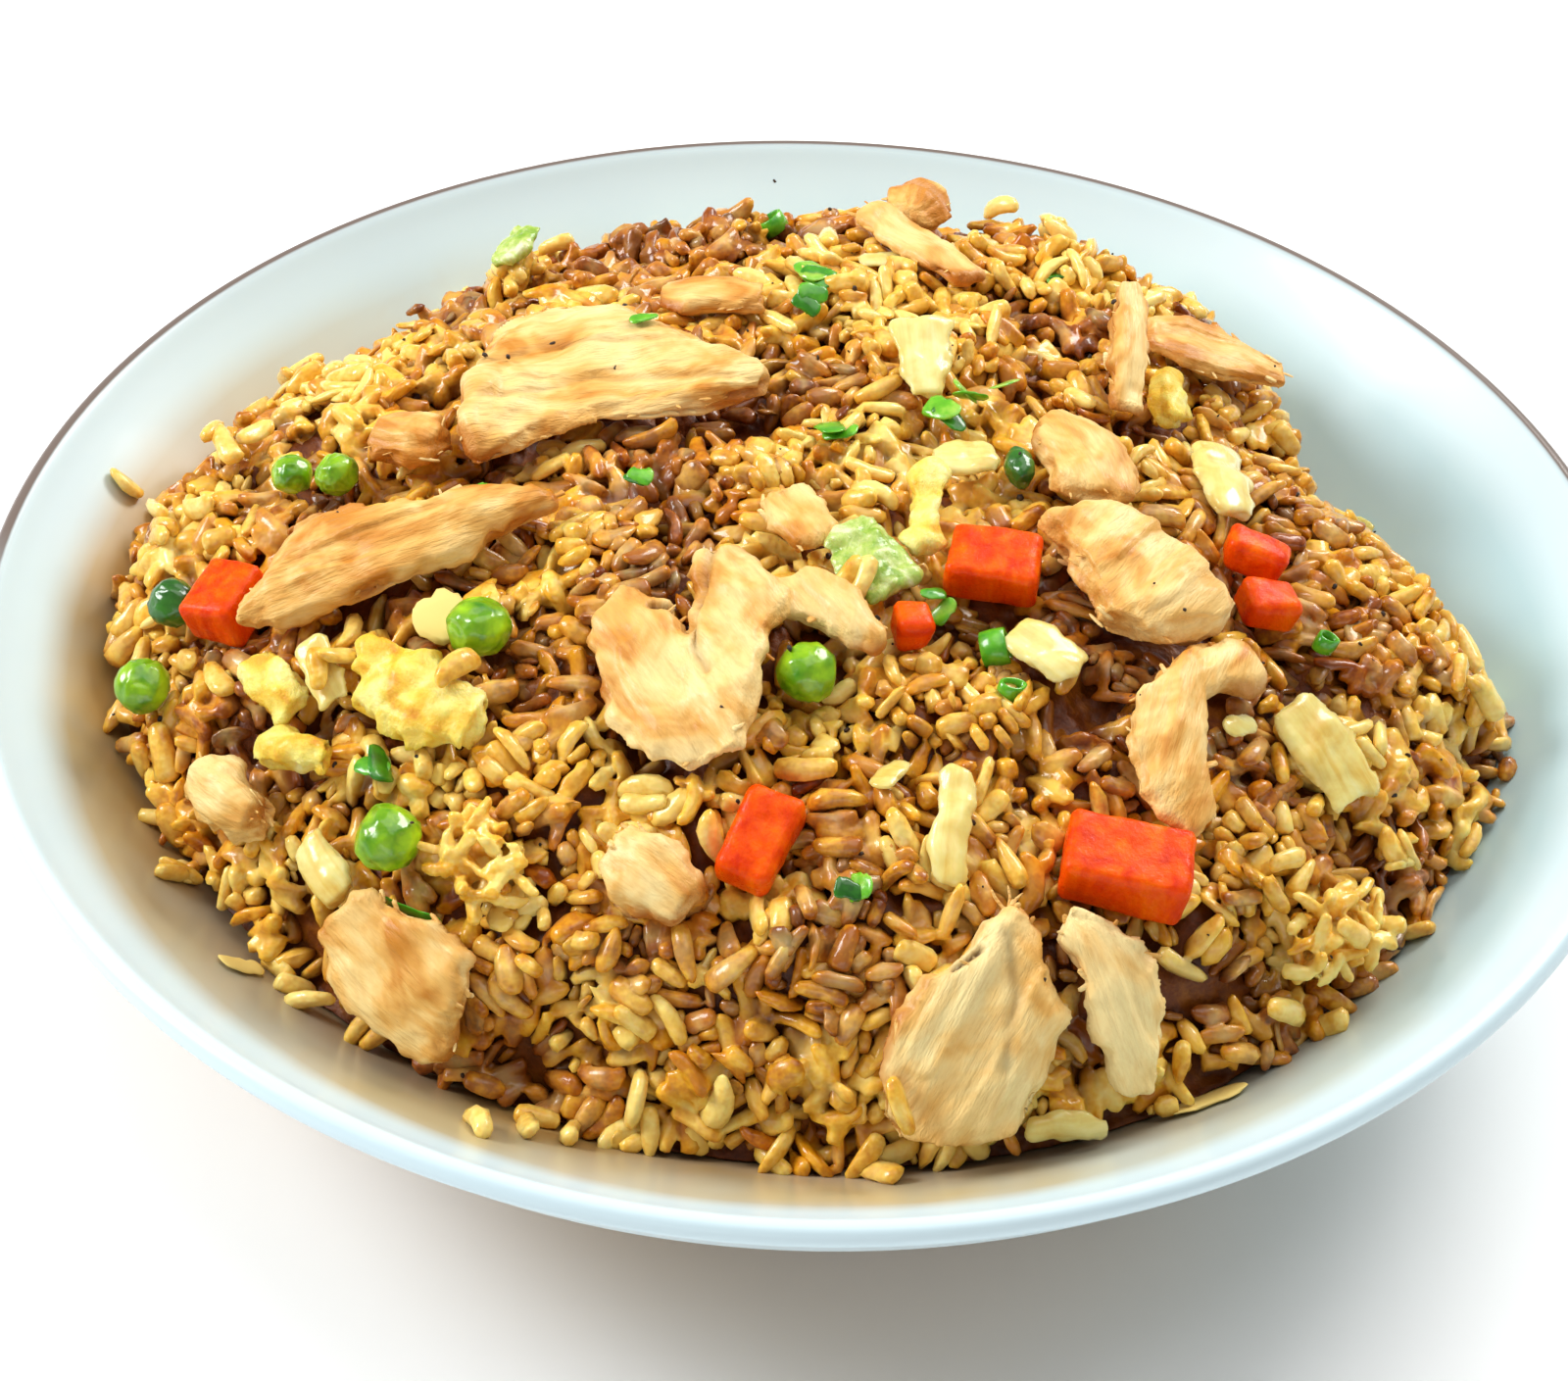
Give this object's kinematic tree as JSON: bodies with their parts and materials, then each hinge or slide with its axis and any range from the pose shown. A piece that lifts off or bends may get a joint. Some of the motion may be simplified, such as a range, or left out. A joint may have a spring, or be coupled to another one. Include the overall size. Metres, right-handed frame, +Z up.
{
  "type": "plate of fried rice",
  "caption": "Shallow round white bowl heaped with fried rice, chicken slices, scrambled egg, peas, diced carrot and onion.",
  "frame": {"origin": "middle of the foot ring, on the table", "axes": "+Z up out of the dish; the side that faces the eater is -Y"},
  "size_m": [0.22, 0.22, 0.0709],
  "materials": {
    "glazed_white": "gloss white glaze",
    "fried_rice": "oily cooked grains",
    "cooked_chicken": "browned, moist",
    "scrambled_egg": "soft, moist",
    "onion": "translucent, oily",
    "cabbage": "crinkled, oily",
    "pea": "glossy, dimpled",
    "carrot": "wet, cut faces"
  },
  "bodies": {
    "root": {"cabbage_crinkled": "cabbage", "cabbage_far": "cabbage", "carrot_big": "carrot", "carrot_crown": "carrot", "carrot_dark": "carrot", "carrot_left": "carrot", "carrot_right_lower": "carrot", "carrot_right_upper": "carrot", "carrot_slanted": "carrot", "chicken_behind_slice": "cooked_chicken", "chicken_broad_slice": "cooked_chicken", "chicken_brown_lump": "cooked_chicken", "chicken_chunk": "cooked_chicken", "chicken_crown_bit": "cooked_chicken", "chicken_far_knob": "cooked_chicken", "chicken_far_strip": "cooked_chicken", "chicken_front_curl": "cooked_chicken", "chicken_front_flap": "cooked_chicken", "chicken_front_lump": "cooked_chicken", "chicken_hook": "cooked_chicken", "chicken_left_lump": "cooked_chicken", "chicken_left_strip": "cooked_chicken", "chicken_lower_left": "cooked_chicken", "chicken_middle_flap": "cooked_chicken", "chicken_standing_strip": "cooked_chicken", "chicken_upper_right": "cooked_chicken", "chicken_wedge": "cooked_chicken", "dish": "glazed_white", "egg_curl": "scrambled_egg", "egg_far_right": "scrambled_egg", "egg_large": "scrambled_egg", "egg_left": "scrambled_egg", "egg_lower": "scrambled_egg", "egg_pale": "scrambled_egg", "onion_browned": "onion", "onion_clump": "onion", "onion_fan": "onion", "onion_flat": "onion", "onion_front": "onion", "onion_left": "onion", "onion_middle": "onion", "onion_right": "onion", "onion_strip": "onion", "onion_upper": "onion", "pea_crumpled": "pea", "pea_dark": "pea", "pea_edge": "pea", "pea_far": "pea", "pea_far_left": "pea", "pea_lower": "pea", "pea_middle": "pea", "pea_upper": "pea", "rice": "fried_rice"}
  },
  "joints": []
}
